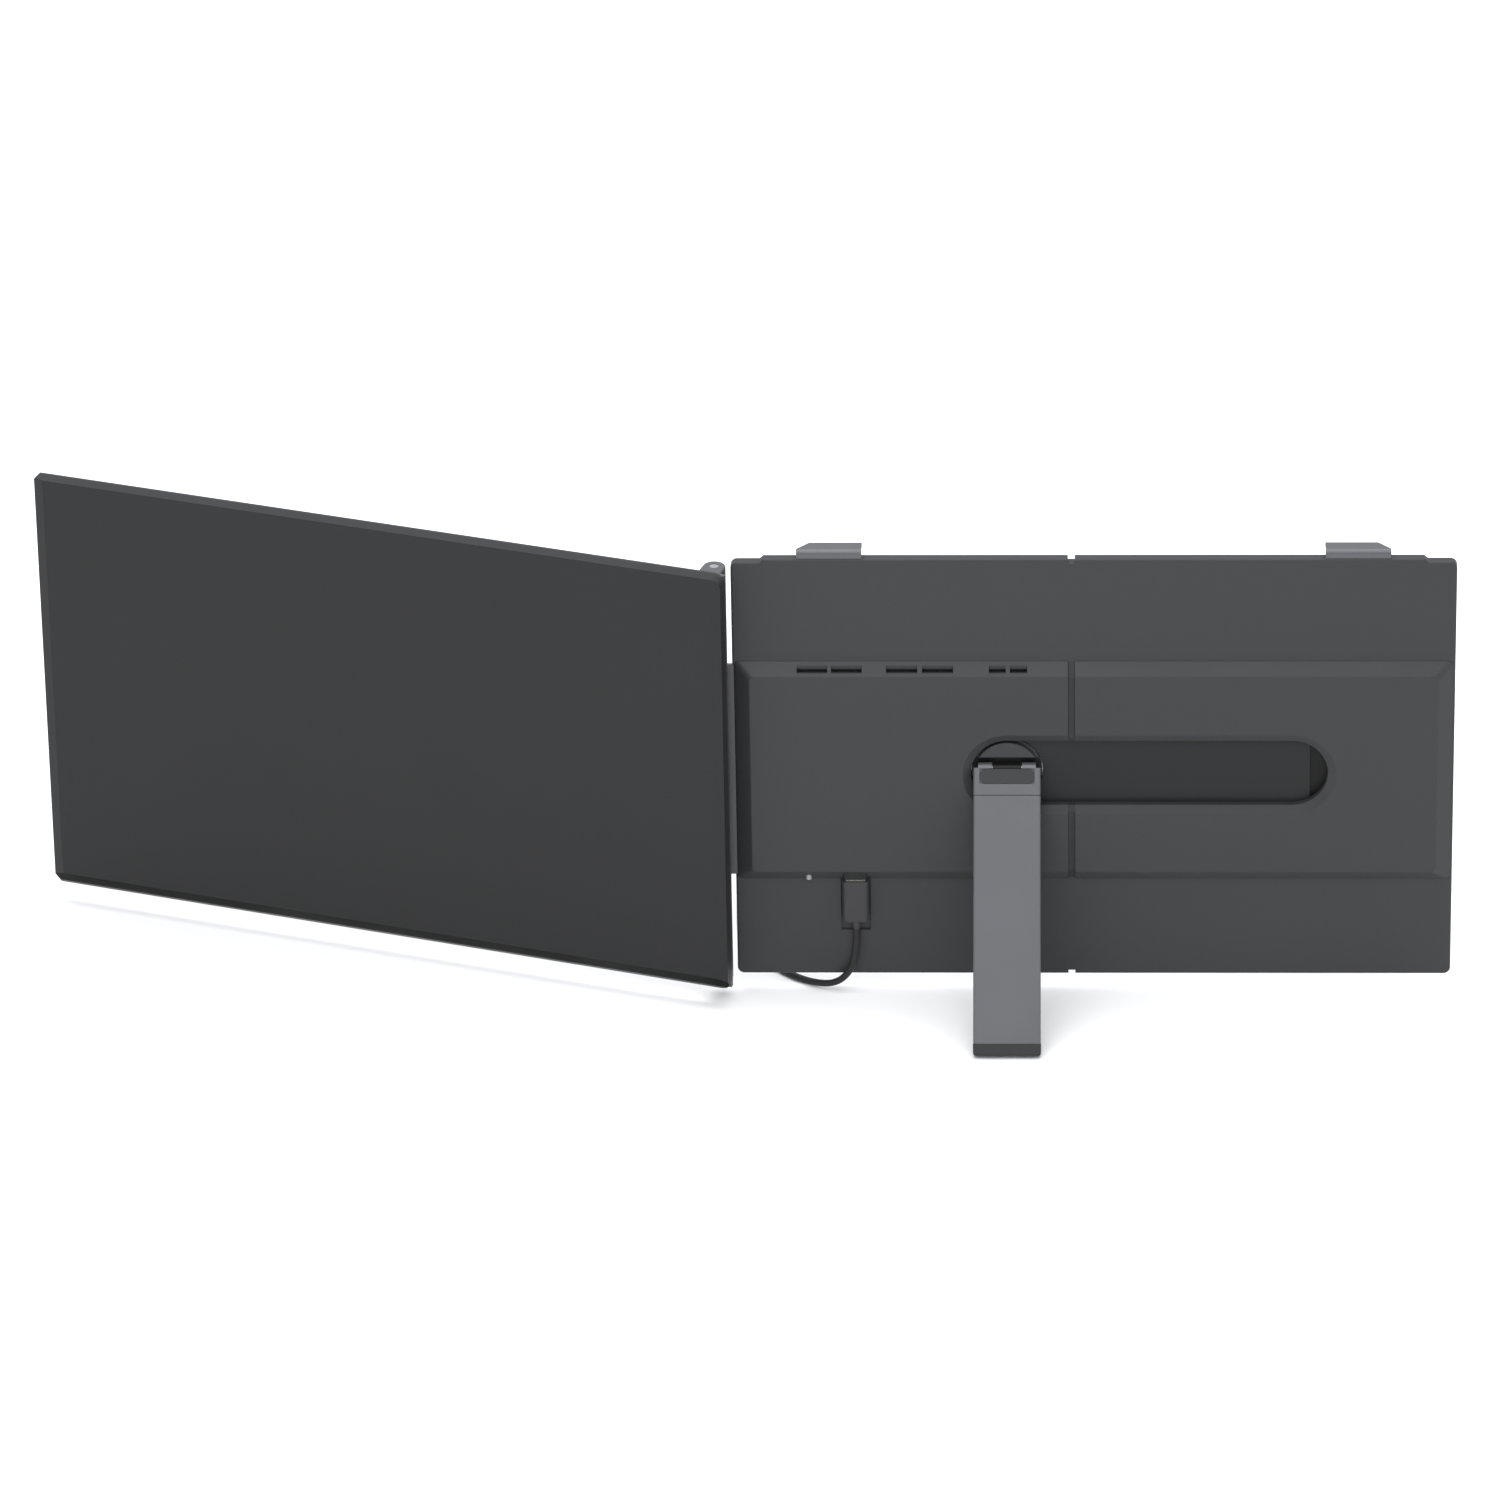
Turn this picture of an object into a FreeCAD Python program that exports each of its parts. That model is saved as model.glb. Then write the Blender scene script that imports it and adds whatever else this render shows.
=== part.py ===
import FreeCAD, Part
import Sketcher
import math
import os

# Clip-on second screen for a laptop.
# Frame: origin at the centre of the plate's lid-side face. +X to the right seen from behind,
# +Y towards the laptop, +Z up. Depth n is measured away from the laptop, so n = -Y.

V = FreeCAD.Vector
doc = FreeCAD.newDocument("screen_extender")
sheet = doc.addObject("Spreadsheet::Sheet", "Sizes")

SIZES = [
    # plate
    ("plate_wide", 313.3), ("plate_tall", 201.9), ("plate_thick", 4.9), ("front_thick", 1.3),
    ("plate_wall", 1.6), ("face_thick", 1.5), ("plate_round", 3.0), ("bump_up", 1.45), ("bump_half", 144.0),
    # raised band
    ("band_n", 9.6), ("band_face_x", 149.2), ("band_face_z", 47.7), ("band_base_x", 155.9), ("band_base_z", 53.4),
    ("band_wall", 1.5), ("band_skin", 1.2), ("seam_x0", -11.0), ("seam_x1", -8.0),
    # hub and leg channel
    ("hub_x", -37.6), ("hub_r", 14.1), ("hub_base_r", 15.3), ("chan_r", 15.7), ("chan_open_r", 19.4),
    ("chan_cham", 2.2), ("chan_end_x", 86.2), ("ring_r", 18.6), ("floor_n", 4.3), ("floor_end_x", 94.2),
    # leg
    ("leg_axis_n", 7.1), ("leg_axis_z", 2.3), ("leg_wide", 29.4), ("ear_half", 12.6), ("slot_half", 6.4),
    ("leg_thick", 3.0), ("block_half_t", 2.5), ("block_len", 11.8), ("leg_len", 125.4), ("foot_len", 5.3),
    ("leg_angle", 27.9), ("leg_pin_r", 1.2), ("run_gap", 0.05),
    # hinge
    ("hinge_x", -163.5), ("hinge_n", 7.5), ("knuckle_r", 5.0), ("hinge_pin_r", 2.0), ("mid_half", 51.4),
    ("spine_z", 100.8), ("open_angle", 18.3),
    # display, measured with the panel swung level with the plate
    ("disp_front_n", 16.0), ("disp_thick", 7.9), ("disp_right", 8.2), ("disp_wide", 321.6),
    ("disp_top", 102.3), ("disp_low_front", -102.1), ("disp_low_back", -93.2), ("bezel_thick", 1.5),
    ("bevel_wide", 4.6), ("bevel_deep", 1.6), ("active_wide", 301.6), ("active_tall", 188.5), ("active_right", -7.8),
    ("active_low", -91.2), ("shell_wall", 1.4),
    # clips
    ("clip_x", 114.1), ("clip_half", 14.1), ("clip_top", 106.4), ("clip_seat", 102.45), ("tongue_half", 10.0),
    # cable
    ("floor_z", -109.3), ("cable_r", 1.5), ("plug_x", -104.2), ("plug_n", 6.8), ("plug_half_w", 5.6),
    ("plug_half_t", 2.7), ("plug_top", -53.3), ("plug_low", -73.2), ("coil_x", -96.0), ("coil_y", 98.0),
    ("coil_in", 12.0), ("coil_out", 22.4), ("coil_tall", 6.1),
]


class Q:
    """A size with the expression that gives it."""

    def __init__(self, v, e=None):
        self.v = float(v)
        self.e = e if e is not None else ("(%.6g)" % float(v))

    @staticmethod
    def of(o):
        return o if isinstance(o, Q) else Q(o)

    def __add__(self, o):
        o = Q.of(o)
        return Q(self.v + o.v, "(%s + %s)" % (self.e, o.e))

    __radd__ = __add__

    def __sub__(self, o):
        o = Q.of(o)
        return Q(self.v - o.v, "(%s - %s)" % (self.e, o.e))

    def __rsub__(self, o):
        return Q.of(o) - self

    def __mul__(self, o):
        o = Q.of(o)
        return Q(self.v * o.v, "(%s * %s)" % (self.e, o.e))

    __rmul__ = __mul__

    def __truediv__(self, o):
        o = Q.of(o)
        return Q(self.v / o.v, "(%s / %s)" % (self.e, o.e))

    def __neg__(self):
        return Q(-self.v, "(-1 * %s)" % self.e)


S = {}
for i, (name, value) in enumerate(SIZES):
    sheet.set("A%d" % (i + 1), name)
    sheet.set("B%d" % (i + 1), "%g" % value)
    sheet.setAlias("B%d" % (i + 1), name)
    S[name] = Q(value, "Sizes." + name)
doc.recompute()


def bind(o, prop, q):
    o.setExpression(prop, Q.of(q).e)


def place(o, x, n, z):
    bind(o, "Placement.Base.x", x)
    bind(o, "Placement.Base.y", -Q.of(n))
    bind(o, "Placement.Base.z", z)


def box(name, x0, x1, n0, n1, z0, z1):
    o = doc.addObject("Part::Box", name)
    x0, x1, n0, n1, z0, z1 = (Q.of(a) for a in (x0, x1, n0, n1, z0, z1))
    bind(o, "Length", x1 - x0)
    bind(o, "Width", n1 - n0)
    bind(o, "Height", z1 - z0)
    place(o, x0, n1, z0)
    return o


ALONG = {
    "n": FreeCAD.Rotation(V(1, 0, 0), 90),   # the axis points to -Y, away from the laptop
    "z": FreeCAD.Rotation(),
    "x": FreeCAD.Rotation(V(0, 1, 0), 90),
}


def cyl(name, along, r, length, x, n, z):
    o = doc.addObject("Part::Cylinder", name)
    o.Placement = FreeCAD.Placement(V(0, 0, 0), ALONG[along])
    bind(o, "Radius", r)
    bind(o, "Height", length)
    place(o, x, n, z)
    return o


def cone(name, along, r0, r1, length, x, n, z):
    o = doc.addObject("Part::Cone", name)
    o.Placement = FreeCAD.Placement(V(0, 0, 0), ALONG[along])
    bind(o, "Radius1", r0)
    bind(o, "Radius2", r1)
    bind(o, "Height", length)
    place(o, x, n, z)
    return o


def wedge(name, outer, base, n_out, n_base):
    """Sloped block: rectangle outer (x0, x1, z0, z1) at depth n_out, rectangle base at n_base < n_out."""
    o = doc.addObject("Part::Wedge", name)
    for prop, q in zip(("Xmin", "Xmax", "Zmin", "Zmax"), outer):
        bind(o, prop, q)
    for prop, q in zip(("X2min", "X2max", "Z2min", "Z2max"), base):
        bind(o, prop, q)
    bind(o, "Ymin", -Q.of(n_out))
    bind(o, "Ymax", -Q.of(n_base))
    return o


def fuse(name, parts):
    if len(parts) == 1:
        return parts[0]
    o = doc.addObject("Part::MultiFuse", name)
    o.Shapes = parts
    return o


def cut(name, base, tools):
    tool = fuse(name + "_tools", tools)
    o = doc.addObject("Part::Cut", name)
    o.Base = base
    o.Tool = tool
    return o


def common(name, a, b):
    o = doc.addObject("Part::Common", name)
    o.Base = a
    o.Tool = b
    return o


def edges_where(shape, test):
    found = []
    for i, e in enumerate(shape.Edges):
        p = [e.valueAt(e.FirstParameter + (e.LastParameter - e.FirstParameter) * k / 4.0) for k in range(5)]
        if test(p):
            found.append(i + 1)
    return found


def rounded(name, base, picks, kind="Part::Fillet"):
    """picks is a list of (test on five points of an edge, radius)."""
    doc.recompute()
    o = doc.addObject(kind, name)
    o.Base = base
    rows = []
    used = set()
    for test, r in picks:
        for i in edges_where(base.Shape, test):
            if i not in used:
                used.add(i)
                rows.append((i, r, r))
    assert rows, name + ": no edge to round"
    o.Edges = rows
    doc.recompute()
    return o


def along(p, axis, tol=1e-3):
    a, b = p[0], p[-1]
    d = b - a
    other = [abs(c) for k, c in enumerate((d.x, d.y, d.z)) if k != axis]
    return d.Length > tol and max(other) < tol


def all_at(p, axis, value, tol=0.02):
    return all(abs((q.x, q.y, q.z)[axis] - value) < tol for q in p)


def prism(name, plane, points, start, length):
    """Body with a closed polygon sketch, padded by length from start.
    plane YZ: points (n, z), padded along +X; plane XZ: points (x, z), padded away from the laptop."""
    b = doc.addObject("PartDesign::Body", name)
    sk = b.newObject("Sketcher::SketchObject", name + "_outline")
    role = {"YZ": "YZ_Plane", "XZ": "XZ_Plane"}[plane]
    origin_plane = [f for f in b.Origin.OriginFeatures if f.Role == role][0]
    sk.AttachmentSupport = [(origin_plane, "")]
    sk.MapMode = "FlatFace"
    pts = []
    for a, c in points:
        a, c = Q.of(a), Q.of(c)
        pts.append((-a if plane == "YZ" else a, c))
    count = len(pts)
    for i in range(count):
        p, q = pts[i], pts[(i + 1) % count]
        sk.addGeometry(Part.LineSegment(V(p[0].v, p[1].v, 0), V(q[0].v, q[1].v, 0)), False)
    for i in range(count):
        sk.addConstraint(Sketcher.Constraint("Coincident", i, 2, (i + 1) % count, 1))
    for i, (a, c) in enumerate(pts):
        k = sk.addConstraint(Sketcher.Constraint("DistanceX", -1, 1, i, 1, a.v))
        sk.setExpression("Constraints[%d]" % k, a.e)
        k = sk.addConstraint(Sketcher.Constraint("DistanceY", -1, 1, i, 1, c.v))
        sk.setExpression("Constraints[%d]" % k, c.e)
    sk.setExpression("AttachmentOffset.Base.z", Q.of(start).e)
    pad = b.newObject("PartDesign::Pad", name + "_pad")
    pad.Profile = sk
    bind(pad, "Length", length)
    b.Tip = pad
    return b


PARTS = []


def part(o, label, placement=None):
    if placement is not None:
        doc.recompute()
        if not o.Placement.isIdentity():
            held = doc.addObject("Part::Compound", o.Name + "_held")
            held.Links = [o]
            o = held
    o.Label = label
    if placement is not None:
        o.Placement = placement
    PARTS.append(o)
    return o


# ------------------------------------------------------------------ plate
pw, ph, pt = S["plate_wide"] / 2, S["plate_tall"] / 2, S["plate_thick"]
ft = S["front_thick"]


def outline(name, n0, n1):
    """Plate outline with the slightly taller middle and its chamfered ends."""
    b = S["bump_half"]
    up = ph + S["bump_up"]
    return prism(
        name, "XZ",
        [(-pw, -ph), (pw, -ph), (pw, ph), (b, ph), (b - 1.6, up), (-b + 1.6, up), (-b, ph), (-pw, ph)],
        n0, Q.of(n1) - n0,
    )


seam_mid = (S["seam_x0"] + S["seam_x1"]) / 2
notches = lambda tag: [
    box("notch_top_" + tag, seam_mid - 1.5, seam_mid + 1.5, -1, pt + 1, ph - 0.6, ph + 5),
    box("notch_low_" + tag, seam_mid - 1.5, seam_mid + 1.5, -1, pt + 1, -ph - 5, -ph + 1.9),
]
SCREWS = [(-150.0, -94.5), (-50.0, -94.5), (50.0, -94.5), (150.0, -94.5), (-150.0, 94.5), (-55.0, 94.5), (55.0, 94.5), (150.0, 94.5)]

fc = rounded("front_round", outline("front_outline", 0, ft), [(lambda p: along(p, 1) and abs(abs(p[0].x) - pw.v) < 0.1, 3.0)])
fc = rounded("front_round2", fc, [(lambda p: all_at(p, 1, 0.0), 0.4)])
fc = cut(
    "front_cut", fc,
    notches("front")
    + [cyl("head_sink%d" % i, "n", 2.25, 0.95, x, -0.05, z) for i, (x, z) in enumerate(SCREWS)]
    + [cyl("shank_hole%d" % i, "n", 1.1, 3.0, x, -0.1, z) for i, (x, z) in enumerate(SCREWS)]
    + [box("pad_sink%d" % i, x - 25.2, x + 25.2, -0.1, 0.55, z - 4.2, z + 4.2) for i, (x, z) in enumerate([(-105, 82), (105, 82), (-105, -82), (105, -82)])],
)
part(fc, "front_cover")

bp = rounded("back_round", outline("back_outline", ft, pt), [(lambda p: along(p, 1) and abs(abs(p[0].x) - pw.v) < 0.1, 3.0)])
bp = rounded("back_round2", bp, [(lambda p: all_at(p, 1, -pt.v), 0.9)])
inner = box("back_cavity", -pw + S["plate_wall"], pw - S["plate_wall"], 0, pt - S["face_thick"], -ph + S["plate_wall"], ph - 2.2)
posts = [cyl("post%d" % i, "n", 3.0, pt - ft - 0.5, x, ft, z) for i, (x, z) in enumerate(SCREWS)]
tongue_gap = 0.2
cx, th_ = S["clip_x"], S["tongue_half"]
slots = [
    box("tongue_slot_%s" % s, c - th_ - tongue_gap, c + th_ + tongue_gap, 1.7, 3.1, ph - 4, ph + 4)
    for s, c in (("l", -cx), ("r", cx))
]
anchors = [box("spring_post_%s" % s, c - 3, c + 3, ft, pt - 1, 46.5, 48.4) for s, c in (("l", -cx), ("r", cx))]
bp = cut(
    "back_shell", bp,
    [inner, box("band_window", -150, 150, 0, 6, -45, 45), box("leaf_gap", -pw - 1, -140.6, 2.3, 6, -51.8, 51.8)] + slots + notches("back"),
)
bp = fuse("back_posts", [bp] + posts + anchors)
bp = cut(
    "back_final", bp,
    [cyl("thread%d" % i, "n", 1.05, 2.2, x, ft - 0.1, z) for i, (x, z) in enumerate(SCREWS)]
    + [box("plug_relief_pocket", S["plug_x"] - 6.4, S["plug_x"] + 6.4, pt - 1.0, pt + 1, -79, -50)],
)
part(bp, "back_plate")

part(
    fuse("cover_screw_group", [cyl("sc_head%d" % i, "n", 2.15, 0.8, x, 0.08, z) for i, (x, z) in enumerate(SCREWS)]
         + [cyl("sc_shank%d" % i, "n", 1.0, 2.2, x, 0.85, z) for i, (x, z) in enumerate(SCREWS)]),
    "cover_screws",
)
pads = [box("pad%d" % i, x - 25, x + 25, -0.4, 0.5, z - 4, z + 4) for i, (x, z) in enumerate([(-105, 82), (105, 82), (-105, -82), (105, -82)])]
pads = fuse("pad_group", pads)
part(rounded("pad_round", pads, [(lambda p: along(p, 1), 2.5)]), "front_pads")

# stamped steel frame behind the band: carries the hinge leaf and the leg hub
hx = S["hub_x"]
LEAF_SCREWS = [(-145.5, -42.0), (-145.5, -14.0), (-145.5, 14.0), (-145.5, 42.0)]
fr = box("frame_sheet", -152, 152, 2.2, 3.0, -91, 43)
fr = cut(
    "frame_cut", fr,
    [cyl("spindle_hole", "n", 5.05, 3, hx, 1.5, 0)]
    + [box("window%d" % i, a, b, 1, 4, c, d) for i, (a, b, c, d) in enumerate([(-138, -74, -84, -58), (-66, -4, -84, -58), (6, 68, -84, -58), (76, 138, -84, -58), (108, 140, -38, 34), (-130, -70, 12, 36)])]
    + [cyl("leaf_hole%d" % i, "n", 1.25, 3, x, 1.5, z) for i, (x, z) in enumerate(LEAF_SCREWS)],
)
part(rounded("frame_round", fr, [(lambda p: along(p, 1) and p[0].x < 141 and p[0].x > -139 and abs((p[0] - p[-1]).Length - 0.8) < 0.01, 2.5)]), "bracket_frame")

# ------------------------------------------------------------------ raised band
bfx, bfz, bbx, bbz, bn = S["band_face_x"], S["band_face_z"], S["band_base_x"], S["band_base_z"], S["band_n"]
wall, skin = S["band_wall"], S["band_skin"]


def channel(tag, r, n0, n1, end=None):
    """Long hole round the hub and out to the channel's far end."""
    r = Q.of(r)
    e = S["chan_end_x"]
    depth = Q.of(n1) - n0
    return fuse("channel_" + tag, [
        cyl("chan_hub_" + tag, "n", r, depth, hx, n0, 0),
        cyl("chan_far_" + tag, "n", r, depth, e, n0, 0),
        box("chan_mid_" + tag, hx, e, n0, n1, -r, r),
    ])


def channel_mouth(tag):
    r0, r1, d = S["chan_r"], S["chan_open_r"], S["chan_cham"]
    e = S["chan_end_x"]
    lift = 0.5
    k = 1 + lift / d.v
    ro = r0 + (r1 - r0) * k
    mid = wedge("mouth_mid_" + tag, (hx, e, -ro, ro), (hx, e, -r0, r0), bn + lift, bn - d)
    return fuse("mouth_" + tag, [
        cone("mouth_hub_" + tag, "n", r0, ro, d + lift, hx, bn - d, 0),
        cone("mouth_far_" + tag, "n", r0, ro, d + lift, e, bn - d, 0),
        mid,
    ])


def band_solid(tag):
    w = wedge("band_" + tag, (-bfx, bfx, -bfz, bfz), (-bbx, bbx, -bbz, bbz), bn, pt)
    w = rounded("band_corner_" + tag, w, [(lambda p: abs(p[0].y - p[-1].y) > 2, 4.0)])
    return rounded("band_edge_" + tag, w, [(lambda p: all_at(p, 1, -bn.v), 1.0)])


def band_hollow(tag):
    n_in = bn - skin
    return wedge("hollow_" + tag, (-bfx + wall, bfx - wall, -bfz + wall, bfz - wall), (-bbx + wall, bbx - wall, -bbz + wall, bbz - wall), n_in, pt - 0.01)


VENTS = [(-128.5, -115.35), (-113.6, -100.35), (-89.8, -76.35), (-74.2, -60.8), (-45.2, -38.0), (-36.1, -28.7)]
px = S["plug_x"]
for side, x0, x1 in (("left", -200.0, S["seam_x0"]), ("right", S["seam_x1"], 200.0)):
    half = box("half_" + side, x0, x1, 0, 20, -60, 60)
    shell = cut("band_shell_" + side, band_solid(side), [band_hollow(side)])
    body = fuse("band_body_" + side, [shell, channel("ring_" + side, S["ring_r"], S["floor_n"], bn - skin + 0.01)])
    body = common("band_half_" + side, body, half)
    tools = [channel("well_" + side, S["chan_r"], S["floor_n"] - 1, bn + 1), channel_mouth(side)]
    if side == "left":
        tools += [box("vent%d" % i, a, b, 6.2, 8.3, 49.0, 56.0) for i, (a, b) in enumerate(VENTS)]
        tools += [
            box("port_mouth", px - 6.2, px + 6.2, 4.0, 9.9, -56, -52.4),
            box("port_hole", px - 4.9, px + 4.9, 4.8, 8.41, -56, -44),
            cyl("led_hole", "z", 1.25, 8, -124.6, 6.1, -56),
        ]
    part(cut("band_cover_" + side + "_cut", body, tools), "band_cover_" + side)

strip = wedge("strip_block", (S["seam_x0"], S["seam_x1"], -bfz + 0.8, bfz - 0.8), (S["seam_x0"], S["seam_x1"], -bbz + 0.8, bbz - 0.8), bn - 0.8, pt)
strip = fuse("strip_body", [strip, box("strip_ring", S["seam_x0"], S["seam_x1"], S["floor_n"], pt, -S["ring_r"], S["ring_r"])])
part(cut("strip_cut", strip, [channel("strip", S["chan_r"], S["floor_n"] - 1, bn + 1), channel_mouth("strip")]), "seam_strip")

tray = channel("tray", S["ring_r"], 3.0, S["floor_n"])
scoop = cut("scoop", channel("scoop_zone", S["chan_r"], 3.5, S["floor_n"] + 1), [box("scoop_keep", -80, S["floor_end_x"], 3, 8, -30, 30)])
part(cut("tray_cut", tray, [cyl("tray_hub_hole", "n", 15.6, 4, hx, 2, 0), scoop]), "leg_tray")

# electronics inside the band
part(
    cut("board_cut", box("board", -140.2, -64, 4.0, 5.2, -44.6, 40), [box("board_notch", -80, -60, 3, 6, -22, 22)]),
    "main_board",
)
part(
    fuse("chip_group", [box("chip%d" % i, a, b, 5.2, 5.2 + t, c, d) for i, (a, b, c, d, t) in enumerate([
        (-112, -98, -18, -4, 1.2), (-136, -126, -6, 4, 1.0), (-94, -84, 6, 14, 1.1), (-130, -122, 20, 30, 2.0), (-112, -104, 18, 26, 2.0), (-90, -86, -40, -32, 1.6), (-132, -126, -36, -28, 1.6)])]),
    "board_chips",
)
part(fuse("board_post_group", [cyl("bpost%d" % i, "n", 1.8, 1.0, x, 3.0, z) for i, (x, z) in enumerate([(-136, -41), (-68, -41), (-136, 37), (-68, 37)])]), "board_posts")
rec = cut("receptacle_cut", box("receptacle_block", px - 4.47, px + 4.47, S["plug_n"] - 1.58, S["plug_n"] + 1.58, -48.6, -41.3),
          [box("receptacle_mouth", px - 4.2, px + 4.2, S["plug_n"] - 1.31, S["plug_n"] + 1.31, -52, -42.4)])
part(rec, "usb_c_receptacle")
part(cut("shroud_cut", box("shroud_block", px - 4.8, px + 4.8, 5.25, 8.36, -52.5, -48.75), [box("shroud_hole", px - 4.25, px + 4.25, S["plug_n"] - 1.33, S["plug_n"] + 1.33, -54, -47)]), "port_shroud")
part(fuse("led_group", [cyl("led_rod", "z", 1.2, 4.5, -124.6, 6.1, -53.0)]), "led_lens")

# ------------------------------------------------------------------ display hinge, bracket side
ax, an = S["hinge_x"], S["hinge_n"]
kr, hp = S["knuckle_r"], S["hinge_pin_r"]
mh = S["mid_half"]
leaf = fuse("leaf_body", [cyl("mid_knuckle", "z", kr, mh * 2, ax, an, -mh), box("leaf_plate", ax, -141, 3.0, 4.6, -mh, mh)])
leaf = cut("leaf_cut", leaf, [cyl("leaf_bore", "z", hp + 0.02, 120, ax, an, -60)] + [cyl("leaf_tap%d" % i, "n", 1.25, 3, x, 2.5, z) for i, (x, z) in enumerate(LEAF_SCREWS)])
part(leaf, "hinge_leaf")
part(cyl("hinge_pin_rod", "z", hp, S["spine_z"] * 2 - 0.3, ax, an, -S["spine_z"] + 0.15), "hinge_pin")
part(
    fuse("washer_group", [
        cut("washer_" + s, cyl("washer_disc_" + s, "z", 4.6, 0.4, ax, an, z), [cyl("washer_hole_" + s, "z", hp + 0.05, 2, ax, an, z - 1)])
        for s, z in (("up", mh + 0.05), ("low", -mh - 0.45))]),
    "hinge_washers",
)
part(
    fuse("leaf_screw_group", [cyl("ls_head%d" % i, "n", 2.2, 0.65, x, 1.5, z) for i, (x, z) in enumerate(LEAF_SCREWS)]
         + [cyl("ls_shank%d" % i, "n", 1.2, 2.2, x, 2.1, z) for i, (x, z) in enumerate(LEAF_SCREWS)]),
    "hinge_screws",
)

# ------------------------------------------------------------------ display, drawn level with the plate and swung back about the hinge
swing = FreeCAD.Placement(V(0, 0, 0), FreeCAD.Rotation(V(0, 0, 1), -S["open_angle"].v), V(ax.v, -an.v, 0))
f0, ftk = S["disp_front_n"], S["disp_thick"]
right = ax + S["disp_right"]
left = right - S["disp_wide"]
top, low0, low1 = S["disp_top"], S["disp_low_front"], S["disp_low_back"]


def low_at(n):
    return low0 + (low1 - low0) * (Q.of(n) - f0) / ftk


def display_block(tag, n0, n1):
    b = prism("disp_" + tag, "YZ", [(n0, low_at(n0)), (n0, top), (n1, top), (n1, low_at(n1))], left, S["disp_wide"])
    bw, bd = S["bevel_wide"], S["bevel_deep"]
    back = f0 + ftk
    cutters = []
    if Q.of(n1).v > (back - bd).v:
        for s, x, k in (("l", left, 1), ("r", right, -1)):
            body = doc.addObject("Part::Wedge", "bevel_%s_%s" % (s, tag))
            # triangular prism along Z that trims the back's side edge
            lo = x - 1 if k > 0 else x - bw
            hi = x + bw if k > 0 else x + 1
            bind(body, "Xmin", lo if k > 0 else lo - bw / bd * 0.5)
            bind(body, "Xmax", hi + bw / bd * 0.5 if k > 0 else hi)
            bind(body, "X2min", lo if k > 0 else x)
            bind(body, "X2max", x if k > 0 else hi)
            bind(body, "Ymin", -(back + 0.5))
            bind(body, "Ymax", -(back - bd))
            for prop, q in (("Zmin", -130), ("Zmax", 130), ("Z2min", -130), ("Z2max", 130)):
                bind(body, prop, q)
            cutters.append(body)
    return cut("disp_bevelled_" + tag, b, cutters) if cutters else b


split = f0 + S["bezel_thick"]
sw = S["shell_wall"]
def low_corner(tag):
    """Trims the display's bottom corner on the hinge side to a round of 6 mm."""
    R = 6.0
    arc = [(right - R + R * math.sin(math.radians(t)), low0 + R - R * math.cos(math.radians(t))) for t in (0, 15, 30, 45, 60, 75, 90)]
    return prism("low_corner_" + tag, "XZ", arc + [(right + 3, low0 + R), (right + 3, low0 - 3), (right - R, low0 - 3)], 10, 20)


whole_back = cut("back_low_corner", display_block("back", split, f0 + ftk), [low_corner("back")])
whole_back = rounded("back_corners", whole_back, [
    (lambda p: along(p, 1) and p[0].z > 90 and p[0].x > -200, 5.0),
    (lambda p: along(p, 1) and p[0].z > 90 and p[0].x < -400, 0.7),
])
button_z = -58.0
hollow = prism("disp_hollow", "YZ", [(split - 1, low_at(split) + 3.0), (split - 1, top - sw), (f0 + ftk - 1.3, top - sw), (f0 + ftk - 1.3, low1 + 1.2)], left + sw, S["disp_wide"] - sw * 2)
hollow = cut("disp_hollow_side", hollow, [box("keep_l", left - 1, left + 6.5, f0 + ftk - 3.2, 40, -140, 140), box("keep_r", right - 6.5, right + 1, f0 + ftk - 3.2, 40, -140, 140), box("keep_corner", right - 8, right + 1, 10, 40, top - 8, 140)])
whole_back = cut("disp_shell", whole_back, [hollow, box("button_slot", left - 2, left + 3, 18.55, 20.65, button_z - 4.15, button_z + 4.15)])
part(whole_back, "display_back_cover", swing)

bz = cut("bezel_low_corner", display_block("bezel", f0, split), [low_corner("bezel")])
bz = rounded("bezel_corners", bz, [
    (lambda p: along(p, 1) and p[0].z > 90 and p[0].x > -200, 5.0),
    (lambda p: along(p, 1) and p[0].z > 90 and p[0].x < -400, 0.7),
])
a_right = ax + S["active_right"]
a_left = a_right - S["active_wide"]
a_low = S["active_low"]
a_top = a_low + S["active_tall"]
bz = cut("bezel_cut", bz, [box("bezel_window", a_left - 0.6, a_right + 0.6, 10, 30, a_low - 0.6, a_top + 0.6)])
bz = rounded("bezel_edge", bz, [(lambda p: all_at(p, 1, -f0.v) and all_at(p, 2, top.v), 0.4)])
part(bz, "display_bezel", swing)
glass = box("glass_block", a_left - 0.5, a_right + 0.5, f0 + 0.12, f0 + 1.2, a_low - 0.5, a_top + 0.5)
part(glass, "lcd_panel", swing)
part(box("backlight_block", a_left - 1.6, a_right + 1.6, split + 0.05, split + 2.4, a_low - 1.6, a_top + 1.6), "lcd_backlight", swing)
part(box("driver_block", left + 40, left + 150, split + 2.6, split + 3.7, -84, -60), "driver_board", swing)
part(fuse("flex_body", [box("flex_run", left + 150, right - 10, split + 2.7, split + 2.95, -76, -66), box("flex_rise", right - 16, right - 10, split + 2.7, split + 2.95, -76, -40)]), "display_flex", swing)

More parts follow.
